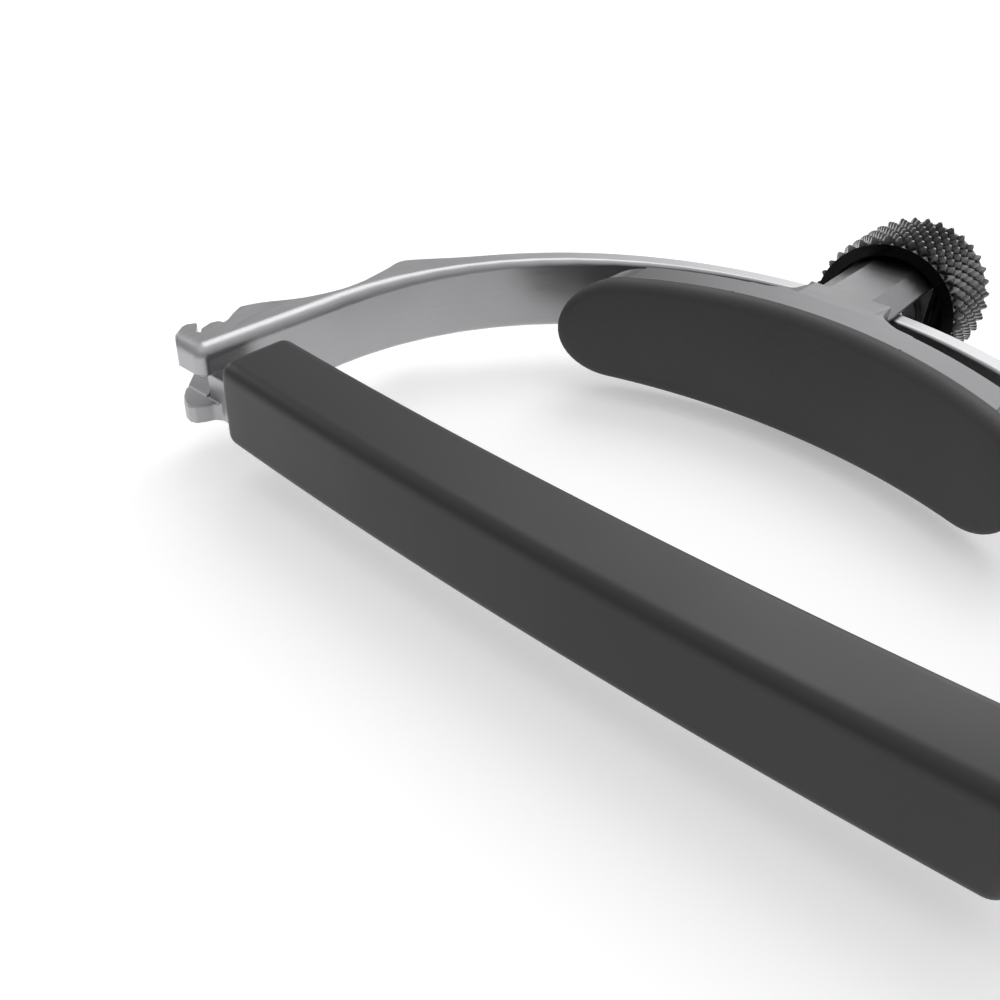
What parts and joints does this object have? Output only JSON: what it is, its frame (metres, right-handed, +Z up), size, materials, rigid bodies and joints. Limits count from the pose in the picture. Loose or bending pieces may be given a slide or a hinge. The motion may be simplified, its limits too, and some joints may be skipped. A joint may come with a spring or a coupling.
{
  "type": "guitar capo",
  "caption": "Yoke capo: a steel bow with a hinged rubber-covered string bar and a thumbscrew that presses a curved neck pad.",
  "frame": {"origin": "on the resting surface, under the middle of the object's box, on the thumbscrew's centre plane", "axes": "+X along the string bar from the catch to the hinge, +Y from the string bar to the thumbscrew, +Z up across the width of the yoke strip"},
  "size_m": [0.0708, 0.061, 0.0138],
  "materials": {
    "yoke_steel": "satin brushed lengthwise",
    "saddle_steel": "bead-blasted satin",
    "bar_steel": "satin",
    "bright_steel": "turned",
    "spring_steel": "blued",
    "bush_brass": "turned",
    "bar_rubber": "matte, smooth",
    "pad_rubber": "matte, smooth",
    "knob_black": "black anodised, diamond knurl",
    "cap_plastic": "satin",
    "washer_plastic": "plain"
  },
  "bodies": {
    "frame": {"yoke": "yoke_steel", "thread_bush": "bush_brass", "hinge_pin": "bright_steel", "hinge_washers": "washer_plastic"},
    "bar": {"bar_core": "bar_steel", "bar_sleeve": "bar_rubber", "hinge_bush": "bush_brass"},
    "saddle": {"pad_carrier": "saddle_steel", "neck_pad": "pad_rubber", "fork_bridge": "saddle_steel", "bridge_pins": "bright_steel"},
    "thumbscrew": {"spindle": "bright_steel", "knob": "knob_black", "thrust_washer": "washer_plastic", "clip_washer": "washer_plastic", "retaining_clip": "spring_steel", "knob_nut": "bright_steel", "knob_cap": "cap_plastic"}
  },
  "joints": [
    {"name": "bar_swing", "type": "hinge", "parent": "frame", "child": "bar", "pos_m": [0.033, -0.02615, 0.0069], "axis": [0, 0, 1], "range_deg": [0, 110]},
    {"name": "pad_slide", "type": "slide", "parent": "frame", "child": "saddle", "axis": [0, -1, 0], "range_m": [-0.0032, 0.0054]},
    {"name": "knob_turn", "type": "hinge", "parent": "saddle", "child": "thumbscrew", "pos_m": [0, 0.02545, 0.0069], "axis": [0, -1, 0], "range_deg": [-1646, 2778]}
  ],
  "couplings": [
    {"joint": "knob_turn", "follows": "pad_slide", "rad_per_m": 8976}
  ]
}
